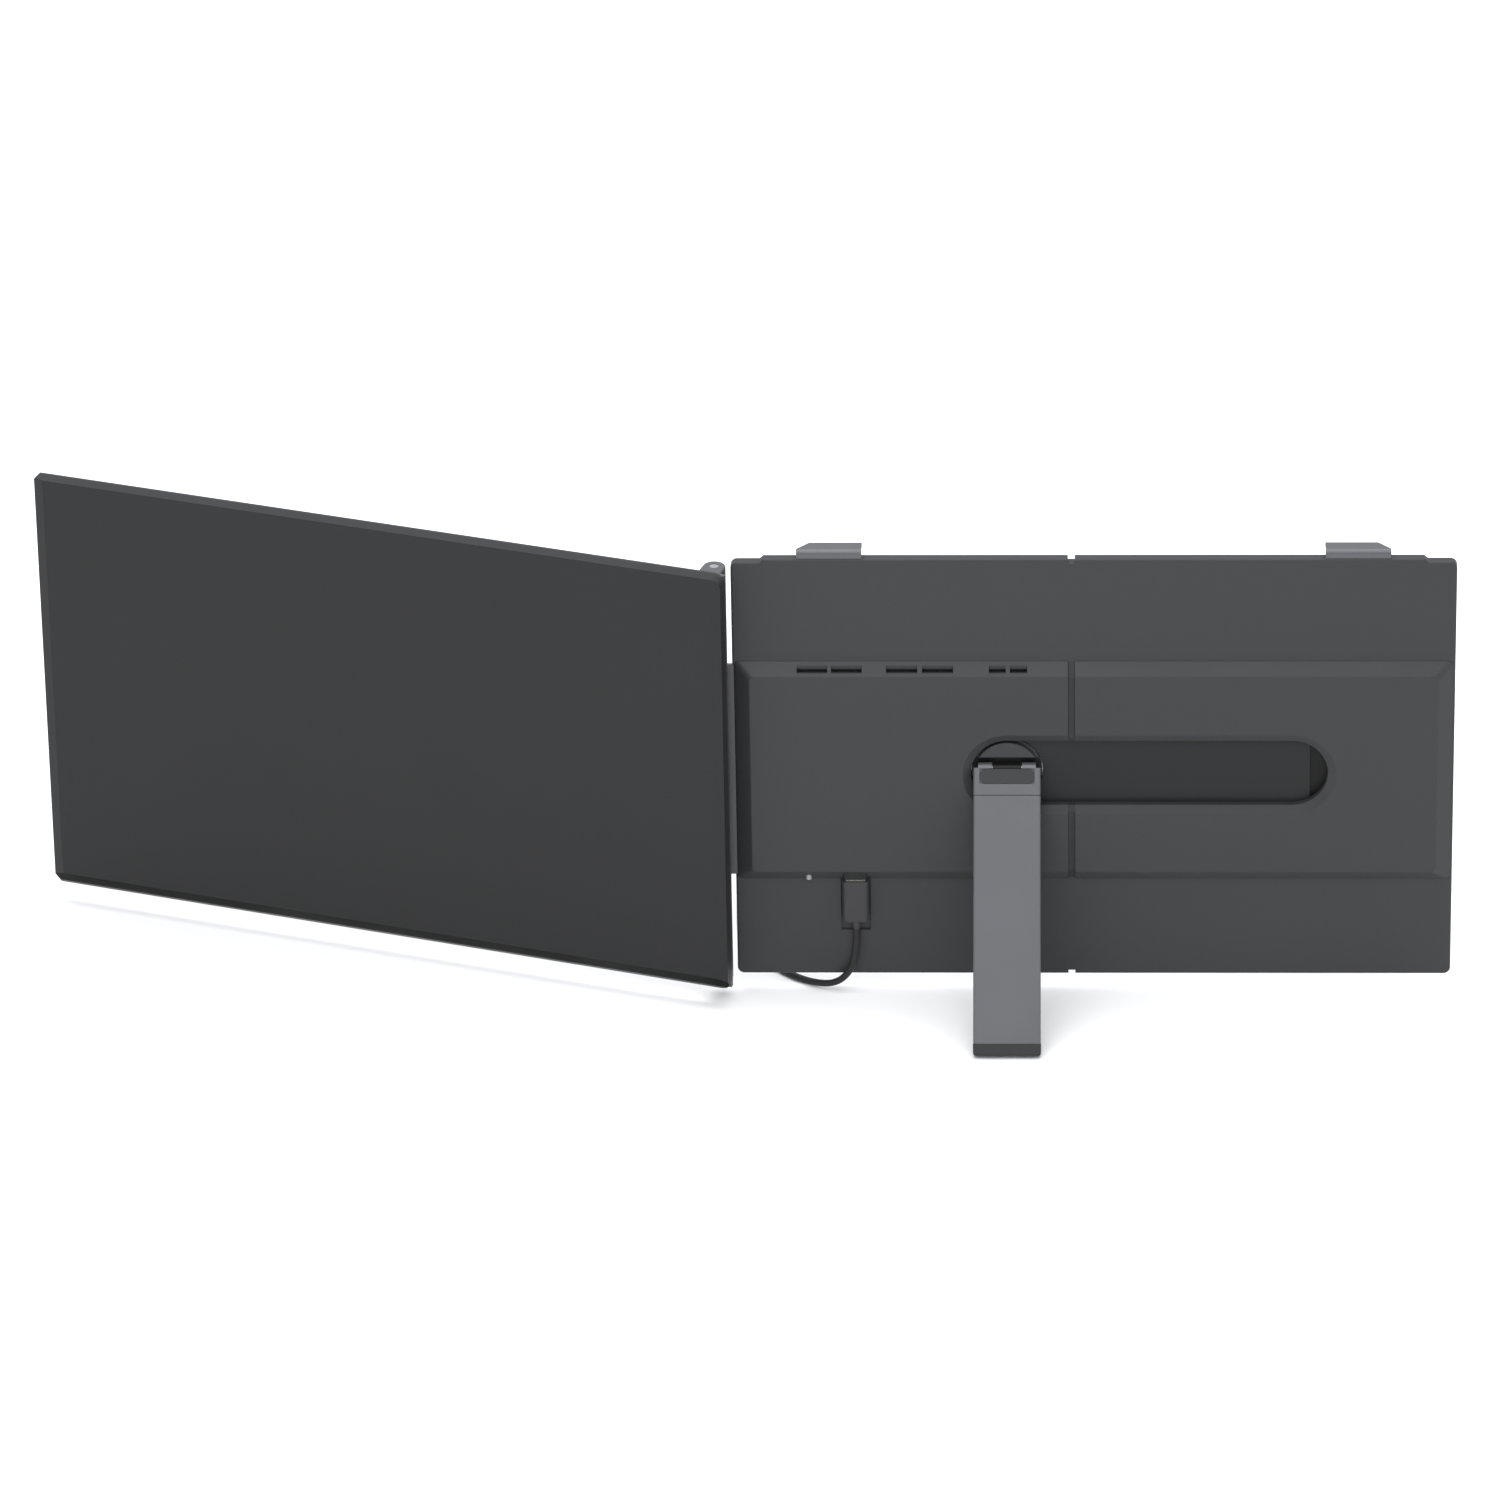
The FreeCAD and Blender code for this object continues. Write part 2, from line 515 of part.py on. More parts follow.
sz = S["spine_z"]
webs = []
for s, z0, z1 in (("up", mh + 0.5, sz), ("low", -sz, -mh - 0.5)):
    webs += [cyl("knuckle_" + s, "z", kr, z1 - z0, ax, an, z0), box("web_" + s, ax - 5.0, ax + 5.0, an, f0 - 1, z0, z1)]
spine = fuse("spine_body", webs + [box("spine_strip", ax - 6.0, right - 0.6, f0 - 2.0, f0, -sz, sz)])
SPINE_SCREWS = [-90.0, -60.0, -20.0, 20.0, 60.0, 90.0]
spine = cut("spine_cut", spine, [cyl("spine_bore", "z", hp + S["run_gap"], 220, ax, an, -110)])
part(rounded("spine_round", spine, [(lambda p: all(q.z > sz.v - 0.01 for q in p) and max(q.y for q in p) > -an.v + kr.v - 0.5 and min(q.y for q in p) > -an.v - 0.1, 0.8)]), "hinge_spine", swing)
part(fuse("spine_screw_group", [cyl("spine_screw%d" % i, "n", 1.2, 3.0, ax - 7.4 + 6.0 + 6.2, f0 + 0.02, z) for i, z in enumerate(SPINE_SCREWS)]), "spine_screws", swing)

strip_holes = [cyl("bezel_hole%d" % i, "n", 1.25, 3.0, ax + 4.8, f0 - 0.5, z) for i, z in enumerate(SPINE_SCREWS)]
bz_named = PARTS[[p.Label for p in PARTS].index("display_bezel")]
bz_named.Label = "bezel_before_holes"
bz_named.Placement = FreeCAD.Placement()
bz2 = cut("bezel_drilled", bz_named, strip_holes)
PARTS[PARTS.index(bz_named)] = bz2
bz2.Label = "display_bezel"
bz2.Placement = swing

btn = box("button_block", left - 0.7, left + 1.8, 18.65, 20.55, button_z - 4.0, button_z + 4.0)
btn = rounded("button_round", btn, [(lambda p: all_at(p, 0, left.v - 0.7), 0.5)])
part(btn, "power_button", swing)

# ------------------------------------------------------------------ leg hub
lz, ln = S["leg_axis_z"], S["leg_axis_n"]
hub = fuse("hub_body", [
    cyl("hub_base", "n", S["hub_base_r"], 1.15, hx, 3.05, 0),
    cut("hub_upper", cyl("hub_cap", "n", S["hub_r"], 2.3, hx, 4.2, 0), [box("hub_front_cut", hx - 20, hx + 20, 3, 8, -20, 6.8)]),
    cyl("hub_spindle", "n", 5.0, 1.0, hx, 2.1, 0),
    cyl("hub_stub", "n", 3.0, 0.7, hx, 1.45, 0),
    cyl("hub_knuckle", "x", 1.8, S["slot_half"] * 2 - 0.4, hx - S["slot_half"] + 0.2, ln, lz),
    box("hub_web", hx - S["slot_half"] + 0.2, hx + S["slot_half"] - 0.2, 4.1, ln, lz - 1.8, lz + 1.8),
])
hub = cut("hub_cut", hub, [cyl("hub_bore", "x", S["leg_pin_r"] + S["run_gap"], 20, hx - 10, ln, lz)])
part(rounded("hub_round", hub, [(lambda p: all_at(p, 1, -6.5), 0.5)]), "hub_disc")
part(cut("retainer_cut", cyl("retainer_disc", "n", 8.0, 0.6, hx, 1.48, 0), [cyl("retainer_hole", "n", 3.02, 3, hx, 0, 0)]), "hub_retainer")

# ------------------------------------------------------------------ leg, drawn hanging straight down and tilted out about its pin
tilt = FreeCAD.Placement(V(0, 0, 0), FreeCAD.Rotation(V(1, 0, 0), -S["leg_angle"].v), V(hx.v, -ln.v, lz.v))
eh, sh, bt = S["ear_half"], S["slot_half"], S["block_half_t"]
lw = S["leg_wide"] / 2
n_out = ln + bt
n_in = n_out - S["leg_thick"]
part(cyl("leg_pin_rod", "x", S["leg_pin_r"], eh * 2, hx - eh, ln, lz), "leg_pin", tilt)
bl = S["block_len"]
block = fuse("block_body", [
    cyl("block_barrel", "x", bt, eh * 2, hx - eh, ln, lz),
    box("block_thick", hx - eh, hx + eh, ln - bt, n_out, lz - 9.0, lz),
    box("block_cap", hx - lw, hx + lw, n_in, n_out, lz - bl, lz),
])
block = cut("block_cut", block, [
    box("block_slot", hx - sh, hx + sh, 0, 20, lz - 2.9, lz + 5),
    cyl("block_bore", "x", S["leg_pin_r"] + S["run_gap"], 40, hx - 20, ln, lz),
    box("pad_seat_up", hx - 11.9, hx + 11.9, n_out - 0.7, n_out + 2, lz - 7.0, lz - 0.35),
])
part(rounded("block_round", block, [
    (lambda p: along(p, 2) and abs(abs(p[0].x - hx.v) - lw.v) < 0.01 and abs(p[0].y + n_out.v) < 0.01, 1.1),
    (lambda p: along(p, 2) and abs(abs(p[0].x - hx.v) - lw.v) < 0.01 and abs(p[0].y + n_in.v) < 0.01, 0.5),
]), "leg_end_block", tilt)
foot_s = S["leg_len"] - S["foot_len"]
plate = box("leg_sheet", hx - lw, hx + lw, n_in, n_out, lz - foot_s, lz - bl - 0.25)
plate = rounded("leg_sheet_round", plate, [
    (lambda p: along(p, 2) and abs(p[0].y + n_out.v) < 0.01, 1.1),
    (lambda p: along(p, 2) and abs(p[0].y + n_in.v) < 0.01, 0.8),
])
plate = fuse("leg_with_tenons", [plate, box("leg_tenon", hx - 9, hx + 9, n_in + 0.9, n_out - 0.9, lz - foot_s - 2.5, lz - foot_s + 1)])
part(plate, "leg_plate", tilt)
padp = box("leg_pad_block", hx - 11.8, hx + 11.8, n_out - 0.65, n_out + 0.15, lz - 6.9, lz - 0.45)
part(rounded("leg_pad_round", padp, [(lambda p: along(p, 1), 2.6)]), "leg_pad", tilt)
foot = box("foot_block", hx - lw - 0.1, hx + lw + 0.1, n_in - 1.2, n_out + 0.1, lz - S["leg_len"], lz - foot_s)
foot = rounded("foot_round", foot, [
    (lambda p: along(p, 0) and p[0].z < (lz - S["leg_len"]).v + 0.01, 1.2),
    (lambda p: along(p, 1) and p[0].z < (lz - S["leg_len"]).v + 0.01, 1.4),
    (lambda p: along(p, 2) and p[0].y < -n_out.v, 1.0),
])
part(cut("foot_cut", foot, [box("foot_mortise", hx - 9.05, hx + 9.05, n_in + 0.85, n_out - 0.85, lz - foot_s - 2.6, lz - foot_s + 1)]), "leg_foot", tilt)

# ------------------------------------------------------------------ sprung clips
ch, ct, cs = S["clip_half"], S["clip_top"], S["clip_seat"]
for s, c, k in (("left", -cx, -1), ("right", cx, 1)):
    hook = prism("hook_" + s, "YZ", [
        (4.3, cs), (0.0, cs), (0.0, ct - 1.5), (-4.4, ct - 1.5), (-6.8, ct - 3.1), (-6.8, cs + 0.15), (-8.2, cs + 0.15), (-8.2, ct - 2.5), (-3.7, ct), (4.3, ct),
    ], c - ch, ch * 2)
    hook = rounded("hook_soft_" + s, hook, [
        (lambda p: along(p, 0) and all_at(p, 1, -4.3) and all_at(p, 2, ct.v), 2.0),
        (lambda p: along(p, 0) and all_at(p, 1, 3.7, 0.1) and all_at(p, 2, ct.v), 1.5),
        (lambda p: along(p, 0) and all_at(p, 1, 8.2, 0.1) and p[0].z > ct.v - 3, 1.2),
    ])
    # the outer far corner is cut away in plan
    corner = doc.addObject("Part::Wedge", "hook_corner_" + s)
    edge = c + ch * k
    for prop, q in (("Zmin", cs - 3), ("Zmax", ct + 3), ("Z2min", cs - 3), ("Z2max", ct + 3)):
        bind(corner, prop, q)
    bind(corner, "Ymin", -2.5)
    bind(corner, "Ymax", 9.0)
    if k > 0:
        for prop, q in (("Xmin", edge), ("Xmax", edge + 9), ("X2min", edge - 10.4), ("X2max", edge + 9)):
            bind(corner, prop, q)
    else:
        for prop, q in (("Xmin", edge - 9), ("Xmax", edge), ("X2min", edge - 9), ("X2max", edge + 10.4)):
            bind(corner, prop, q)
    hook = cut("hook_trimmed_" + s, hook, [corner])
    hook = fuse("hook_tongue_" + s, [hook, box("tongue_" + s, c - th_, c + th_, 1.75, 3.05, 62, cs + 0.5)])
    part(hook, "clip_hook_" + s)
    part(box("clip_pad_block_" + s, c - 10, c + 8 if k > 0 else c + 10, -4.2, -0.1, ct - 2.1, ct - 1.5) if k > 0 else box("clip_pad_block_" + s, c - 8, c + 10, -4.2, -0.1, ct - 2.1, ct - 1.5), "clip_pad_" + s)
    part(cyl("spring_rod_" + s, "z", 0.8, 13.5, c, 2.4, 48.45), "clip_spring_" + s)

# ------------------------------------------------------------------ cable
cr, fz = S["cable_r"], S["floor_z"]
pn, phw, pht = S["plug_n"], S["plug_half_w"], S["plug_half_t"]
pl = box("plug_block", px - phw, px + phw, pn - pht, pn + pht, S["plug_low"], S["plug_top"])
pl = rounded("plug_round", pl, [(lambda p: along(p, 2), 1.9)])
part(rounded("plug_ends", pl, [(lambda p: all_at(p, 2, S["plug_low"].v), 0.8), (lambda p: all_at(p, 2, S["plug_top"].v), 0.4)]), "plug_housing")
part(box("plug_tip_block", px - 4.12, px + 4.12, pn - 1.24, pn + 1.24, S["plug_top"], -43.4), "plug_tip")
part(cone("relief_cone", "z", 1.65, 2.0, 3.8, px + 0.2, pn, S["plug_low"] - 3.8), "plug_relief")

FLOOR = fz.v + cr.v
ROUTE = [
    (-104.0, -6.8, -77.0), (-104.0, -6.8, -88.0), (-106.6, -8.0, -98.0), (-113.6, -6.9, -105.2), (-124.5, -0.6, FLOOR),
    (-135.0, 7.6, FLOOR), (-145.5, 20.0, FLOOR), (-154.5, 39.0, FLOOR), (-159.0, 66.0, FLOOR), (-153.0, 93.0, FLOOR),
    (-135.0, 111.0, FLOOR), (-112.0, 117.6, FLOOR), (-97.0, 118.9, FLOOR),
]
TAIL = [(-97.0, 77.1, FLOOR + 3.05), (-108.0, 76.2, FLOOR + 2.2), (-118.0, 71.5, FLOOR), (-125.5, 63.5, FLOOR)]


def tube(name, pts, r):
    """Straight runs joined by tangent arcs, swept with a round section."""
    p = [V(*q) for q in pts]
    edges, start = [], p[0]
    for i in range(1, len(p) - 1):
        a, b = (p[i] - p[i - 1]), (p[i + 1] - p[i])
        la, lb = a.Length, b.Length
        a, b = a.normalize(), b.normalize()
        turn = a.getAngle(b)
        t = 0.45 * min(la, lb)
        R = t / math.tan(turn / 2)
        print("%s point %d: runs %.1f %.1f, turn %.1f deg, radius %.1f" % (name, i, la, lb, math.degrees(turn), R))
        s, e = p[i] - a * t, p[i] + b * t
        bis = (b - a).normalize()
        mid = p[i] + bis * (R / math.cos(turn / 2) - R)
        edges.append(Part.LineSegment(start, s).toShape())
        edges.append(Part.Arc(s, mid, e).toShape())
        start = e
    edges.append(Part.LineSegment(start, p[-1]).toShape())
    path = Part.Wire(edges)
    section = Part.Wire([Part.makeCircle(r, p[0], p[1] - p[0])])
    solid = path.makePipeShell([section], True, False, 2)
    solid = Part.Solid(solid) if not isinstance(solid, Part.Solid) else solid
    want = math.pi * r * r * path.Length
    print("%s length %.1f mm, volume %.1f, section x length %.1f" % (name, path.Length, solid.Volume, want))
    assert abs(solid.Volume - want) < 0.01 * want
    o = doc.addObject("Part::Feature", name)
    o.Shape = solid
    return o, path.Length


lead, lead_len = tube("cord_lead_path", ROUTE, cr.v)
part(lead, "cord_lead")
tail, tail_len = tube("cord_tail_path", TAIL, cr.v)
part(tail, "cord_tail")
kx, ky = S["coil_x"], S["coil_y"]
coil = cut("coil_ring", cyl("coil_outer", "z", S["coil_out"], S["coil_tall"], kx, -ky, fz), [cyl("coil_inner", "z", S["coil_in"], 20, kx, -ky, fz - 5)])
coil = rounded("coil_round", coil, [(lambda p: all_at(p, 2, fz.v) or all_at(p, 2, (fz + S["coil_tall"]).v), 1.4)])
coil = cut("coil_lead_slot", coil, [box("coil_lead_gap", -122, -96.7, -120.9, -115.9, fz - 1, fz + 3.05), box("coil_tail_gap", -115, -96.8, -79.2, -74.0, fz + 3.0, fz + 8)])
coil = cut("coil_open", coil, [tail])
part(coil, "cord_coil")
tie_block = box("tie_block", kx + S["coil_in"] - 0.5, kx + S["coil_out"] + 0.5, -ky - 3.0, -ky + 3.0, fz, fz + S["coil_tall"] + 0.4)
tie = doc.addObject("Part::Cut", "tie_cut")
tie.Base = tie_block
tie.Tool = coil
part(tie, "cord_tie")

far = FreeCAD.Placement(V(-125.5, 63.5, FLOOR), FreeCAD.Rotation(V(0, 0, 1), 180 + math.degrees(math.atan2(8.0, 7.5))))
fr1 = doc.addObject("Part::Cone", "far_relief_cone")
fr1.Radius1, fr1.Radius2, fr1.Height = 1.5, 2.0, 3.8
fr1.Placement = far.multiply(FreeCAD.Placement(V(0, 0, 0), FreeCAD.Rotation(V(0, 1, 0), 90)))
fr1.Label = "far_relief"
PARTS.append(fr1)
fh = doc.addObject("Part::Box", "far_block")
bind(fh, "Length", S["plug_top"] - S["plug_low"])
bind(fh, "Width", phw * 2)
bind(fh, "Height", pht * 2)
fh.Placement = FreeCAD.Placement(V(3.8, -phw.v, -cr.v), FreeCAD.Rotation())
fhr = rounded("far_round", fh, [(lambda p: along(p, 0), 1.9)])
part(fhr, "far_plug_housing", far)
ftip = doc.addObject("Part::Box", "far_tip_block")
ftip.Length, ftip.Width, ftip.Height = 6.6, 8.24, 2.48
ftip.Placement = far.multiply(FreeCAD.Placement(V(3.8 + (S["plug_top"] - S["plug_low"]).v, -4.12, -cr.v + pht.v - 1.24), FreeCAD.Rotation()))
ftip.Label = "far_plug_tip"
PARTS.append(ftip)

# ------------------------------------------------------------------ check and write
doc.recompute()
bad = [o.Name for o in doc.Objects if "Invalid" in o.State or "Error" in o.State]
assert not bad, "failed: %s" % bad
labels = [o.Label for o in PARTS]
assert len(set(labels)) == len(labels)
os.makedirs("parts", exist_ok=True)
for o in PARTS:
    sh = o.Shape
    assert not sh.isNull() and sh.isValid() and sh.Volume > 0, o.Label
    b = sh.BoundBox
    print("%-20s solids %d  volume %9.1f  x %.1f..%.1f y %.1f..%.1f z %.1f..%.1f" % (o.Label, len(sh.Solids), sh.Volume, b.XMin, b.XMax, b.YMin, b.YMax, b.ZMin, b.ZMax))
for o in PARTS:
    o.Shape.exportStep("parts/%s.step" % o.Label)
print("lead %.1f tail %.1f nodes %d" % (lead_len, tail_len, len(PARTS)))
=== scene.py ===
import bpy
import bmesh
import math
from mathutils import Matrix, Vector


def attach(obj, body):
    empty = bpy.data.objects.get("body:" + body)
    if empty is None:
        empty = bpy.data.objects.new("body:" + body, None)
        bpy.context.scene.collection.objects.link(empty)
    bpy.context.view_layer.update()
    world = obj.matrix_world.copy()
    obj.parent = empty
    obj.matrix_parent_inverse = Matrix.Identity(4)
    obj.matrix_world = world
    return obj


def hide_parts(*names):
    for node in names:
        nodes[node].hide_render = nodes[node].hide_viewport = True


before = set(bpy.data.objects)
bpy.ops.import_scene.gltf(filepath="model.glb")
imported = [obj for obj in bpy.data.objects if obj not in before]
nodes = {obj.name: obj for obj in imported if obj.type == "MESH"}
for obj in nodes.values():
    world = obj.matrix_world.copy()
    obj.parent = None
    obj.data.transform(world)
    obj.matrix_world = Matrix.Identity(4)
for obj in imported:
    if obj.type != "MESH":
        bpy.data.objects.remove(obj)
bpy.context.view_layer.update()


# ---------------------------------------------------------------- materials
def material(name, colour, rough, grain=0.0, grain_scale=2500.0, metallic=0.0, spec=0.5, mottle=0.04, bevel=0.0, brushed=None, coat=0.0, down_face_painted_shade=None, recess_painted_shade=None, low_painted_shade=None):
    m = bpy.data.materials.new(name)
    m.use_nodes = True
    t = m.node_tree
    n, l = t.nodes, t.links
    b = next(x for x in n if x.type == "BSDF_PRINCIPLED")
    b.inputs["Metallic"].default_value = metallic
    b.inputs["Specular IOR Level"].default_value = spec
    b.inputs["Coat Weight"].default_value = coat
    b.inputs["Coat Roughness"].default_value = 0.2
    co = n.new("ShaderNodeTexCoord")
    src = co.outputs["Object"]
    if brushed:
        mp = n.new("ShaderNodeMapping")
        mp.inputs["Scale"].default_value = brushed
        l.new(src, mp.inputs["Vector"])
        src = mp.outputs["Vector"]
    # broad, faint unevenness of tone and gloss
    big = n.new("ShaderNodeTexNoise")
    big.inputs["Scale"].default_value = 22.0
    big.inputs["Detail"].default_value = 4.0
    l.new(co.outputs["Object"], big.inputs["Vector"])
    fine = n.new("ShaderNodeTexNoise")
    fine.inputs["Scale"].default_value = grain_scale
    fine.inputs["Detail"].default_value = 2.0
    fine.inputs["Roughness"].default_value = 0.6
    l.new(src, fine.inputs["Vector"])
    ramp = n.new("ShaderNodeMapRange")
    ramp.inputs["From Min"].default_value = 0.3
    ramp.inputs["From Max"].default_value = 0.7
    ramp.inputs["To Min"].default_value = 1.0 - mottle
    ramp.inputs["To Max"].default_value = 1.0 + mottle
    l.new(big.outputs["Fac"], ramp.inputs["Value"])
    speck = n.new("ShaderNodeMapRange")
    speck.inputs["From Min"].default_value = 0.25
    speck.inputs["From Max"].default_value = 0.75
    speck.inputs["To Min"].default_value = 1.0 - mottle * 2.5
    speck.inputs["To Max"].default_value = 1.0 + mottle * 2.5
    l.new(fine.outputs["Fac"], speck.inputs["Value"])
    mul = n.new("ShaderNodeMath")
    mul.operation = "MULTIPLY"
    l.new(ramp.outputs["Result"], mul.inputs[0])
    l.new(speck.outputs["Result"], mul.inputs[1])
    tint = n.new("ShaderNodeVectorMath")
    tint.operation = "SCALE"
    tint.inputs[0].default_value = colour[:3]
    l.new(mul.outputs["Value"], tint.inputs["Scale"])
    tone = tint.outputs["Vector"]
    if down_face_painted_shade:
        # painted shade: faces that look down get a darker colour and weaker specular, standing in for the shade they
        # lie in
        ge = n.new("ShaderNodeNewGeometry")
        se = n.new("ShaderNodeSeparateXYZ")
        l.new(ge.outputs["True Normal"], se.inputs["Vector"])
        mk = n.new("ShaderNodeMapRange")
        mk.inputs["From Min"].default_value = -0.45
        mk.inputs["From Max"].default_value = -0.25
        mk.inputs["To Min"].default_value = down_face_painted_shade
        mk.inputs["To Max"].default_value = 1.0
        l.new(se.outputs["Z"], mk.inputs["Value"])
        sc = n.new("ShaderNodeVectorMath")
        sc.operation = "SCALE"
        l.new(tone, sc.inputs[0])
        l.new(mk.outputs["Result"], sc.inputs["Scale"])
        tone = sc.outputs["Vector"]
        sp_ = n.new("ShaderNodeMath")
        sp_.operation = "MULTIPLY"
        sp_.inputs[1].default_value = spec
        l.new(mk.outputs["Result"], sp_.inputs[0])
        l.new(sp_.outputs["Value"], b.inputs["Specular IOR Level"])
    if recess_painted_shade:
        # painted shade: recessed faces, deeper than a given Y, are darkened to stand in for the shade inside the
        # recess
        se = n.new("ShaderNodeSeparateXYZ")
        l.new(co.outputs["Object"], se.inputs["Vector"])
        mk = n.new("ShaderNodeMapRange")
        mk.inputs["From Min"].default_value = recess_painted_shade[0]
        mk.inputs["From Max"].default_value = recess_painted_shade[1]
        mk.inputs["To Min"].default_value = 1.0
        mk.inputs["To Max"].default_value = recess_painted_shade[2]
        l.new(se.outputs["Y"], mk.inputs["Value"])
        sc = n.new("ShaderNodeVectorMath")
        sc.operation = "SCALE"
        l.new(tone, sc.inputs[0])
        l.new(mk.outputs["Result"], sc.inputs["Scale"])
        tone = sc.outputs["Vector"]
    if low_painted_shade:
        # painted shade: the part below a given height is darkened, standing in for the shadow in the slot behind the
        # hub
        se = n.new("ShaderNodeSeparateXYZ")
        l.new(co.outputs["Object"], se.inputs["Vector"])
        mk = n.new("ShaderNodeMapRange")
        mk.inputs["From Min"].default_value = low_painted_shade[0]
        mk.inputs["From Max"].default_value = low_painted_shade[1]
        mk.inputs["To Min"].default_value = low_painted_shade[2]
        mk.inputs["To Max"].default_value = 1.0
        l.new(se.outputs["Z"], mk.inputs["Value"])
        sc = n.new("ShaderNodeVectorMath")
        sc.operation = "SCALE"
        l.new(tone, sc.inputs[0])
        l.new(mk.outputs["Result"], sc.inputs["Scale"])
        tone = sc.outputs["Vector"]
    l.new(tone, b.inputs["Base Color"])
    rr = n.new("ShaderNodeMapRange")
    rr.inputs["From Min"].default_value = 0.3
    rr.inputs["From Max"].default_value = 0.7
    rr.inputs["To Min"].default_value = max(0.02, rough - 0.05)
    rr.inputs["To Max"].default_value = min(1.0, rough + 0.05)
    l.new(big.outputs["Fac"], rr.inputs["Value"])
    l.new(rr.outputs["Result"], b.inputs["Roughness"])
    normal = None
    if bevel:
        bv = n.new("ShaderNodeBevel")
        bv.samples = 6
        bv.inputs["Radius"].default_value = bevel
        normal = bv.outputs["Normal"]
    if grain:
        bp = n.new("ShaderNodeBump")
        bp.inputs["Strength"].default_value = grain
        bp.inputs["Distance"].default_value = 0.00006
        l.new(fine.outputs["Fac"], bp.inputs["Height"])
        if normal is not None:
            l.new(normal, bp.inputs["Normal"])
        normal = bp.outputs["Normal"]
    if normal is not None:
        l.new(normal, b.inputs["Normal"])
    return m


M = {
    "shell": material("shell_plastic", (0.034, 0.0345, 0.0355), 0.46, spec=0.22, grain=0.45, grain_scale=3200.0, mottle=0.03, bevel=0.00035),
    # display back cover: its downward faces carry painted shade, darkened to 8 % of the colour
    "cover": material("display_cover_plastic", (0.0165, 0.0167, 0.0172), 0.46, spec=0.22, grain=0.45, grain_scale=3200.0, mottle=0.03, bevel=0.00035, down_face_painted_shade=0.08),
    "band": material("band_plastic", (0.0335, 0.034, 0.035), 0.44, spec=0.22, grain=0.45, grain_scale=3200.0, mottle=0.03, bevel=0.00035),
    # leg tray: faces deeper in the recess carry painted shade, darkened to 25 %
    "tray": material("tray_plastic", (0.0150, 0.0153, 0.0158), 0.5, spec=0.2, grain=0.35, grain_scale=3600.0, mottle=0.03, bevel=0.0003, recess_painted_shade=(-0.00425, -0.00405, 0.25)),
    "seam": material("seam_plastic", (0.026, 0.0265, 0.027), 0.55, spec=0.2, grain=0.3, grain_scale=3600.0, bevel=0.0002),
    "leg": material("anodised_leg", (0.104, 0.107, 0.114), 0.44, grain=0.5, grain_scale=5200.0, metallic=0.45, mottle=0.035, bevel=0.0003),
    "clip": material("anodised_clip", (0.085, 0.088, 0.094), 0.38, grain=0.45, grain_scale=5200.0, metallic=0.35, mottle=0.03, bevel=0.0003),
    "hinge": material("hinge_paint", (0.052, 0.053, 0.056), 0.36, grain=0.3, grain_scale=4200.0, mottle=0.03, bevel=0.0003, coat=0.15),
    "steel": material("stamped_steel", (0.42, 0.42, 0.43), 0.34, grain=0.35, grain_scale=400.0, metallic=1.0, mottle=0.05, bevel=0.0002, brushed=(0.25, 6.0, 12.0)),
    "screw": material("screw_steel", (0.08, 0.08, 0.085), 0.3, grain=0.2, grain_scale=900.0, metallic=0.9, bevel=0.00015),
    "rubber": material("soft_rubber", (0.018, 0.018, 0.019), 0.75, grain=0.7, grain_scale=2600.0, mottle=0.05, bevel=0.0003),
    "pad": material("leg_pad_rubber", (0.036, 0.0365, 0.0375), 0.7, spec=0.25, grain=0.8, grain_scale=2600.0, mottle=0.05, bevel=0.0003),
    "foot": material("foot_rubber", (0.030, 0.030, 0.031), 0.7, spec=0.2, grain=0.8, grain_scale=2400.0, mottle=0.05, bevel=0.0003),
    "bezel": material("bezel_plastic", (0.012, 0.012, 0.013), 0.42, grain=0.35, grain_scale=3400.0, bevel=0.0003),
    "screen": material("panel_glass", (0.006, 0.0065, 0.008), 0.24, grain=0.12, grain_scale=6000.0, mottle=0.02, coat=0.3),
    "board": material("solder_mask", (0.012, 0.075, 0.035), 0.35, grain=0.2, grain_scale=900.0, coat=0.3),
    "chip": material("chip_epoxy", (0.012, 0.012, 0.013), 0.5, grain=0.5, grain_scale=3000.0, bevel=0.0001),
    "film": material("diffuser_film", (0.6, 0.6, 0.61), 0.6, grain=0.1),
    "flex": material("amber_film", (0.35, 0.16, 0.04), 0.35, grain=0.1),
    "plug": material("plug_shell_plastic", (0.036, 0.036, 0.037), 0.5, spec=0.25, grain=0.4, grain_scale=3000.0, bevel=0.0002),
    "cable": material("cable_jacket", (0.016, 0.016, 0.0165), 0.5, spec=0.25, grain=0.35, grain_scale=2200.0, mottle=0.04),
    "contact": material("nickel", (0.62, 0.61, 0.58), 0.22, metallic=1.0, grain=0.1, bevel=0.0001),
    "led": material("frosted_lens", (0.26, 0.265, 0.27), 0.4, spec=0.3, grain=0.1),
    # hub disc: the part below the slot edge carries painted shade, darkened to 22 %
    "hub": material("hub_plastic", (0.036, 0.0365, 0.0375), 0.45, spec=0.22, grain=0.45, grain_scale=3200.0, mottle=0.03, bevel=0.0003, low_painted_shade=(0.0060, 0.0066, 0.22)),
    "dark": material("inner_dark", (0.006, 0.006, 0.006), 0.8),
}

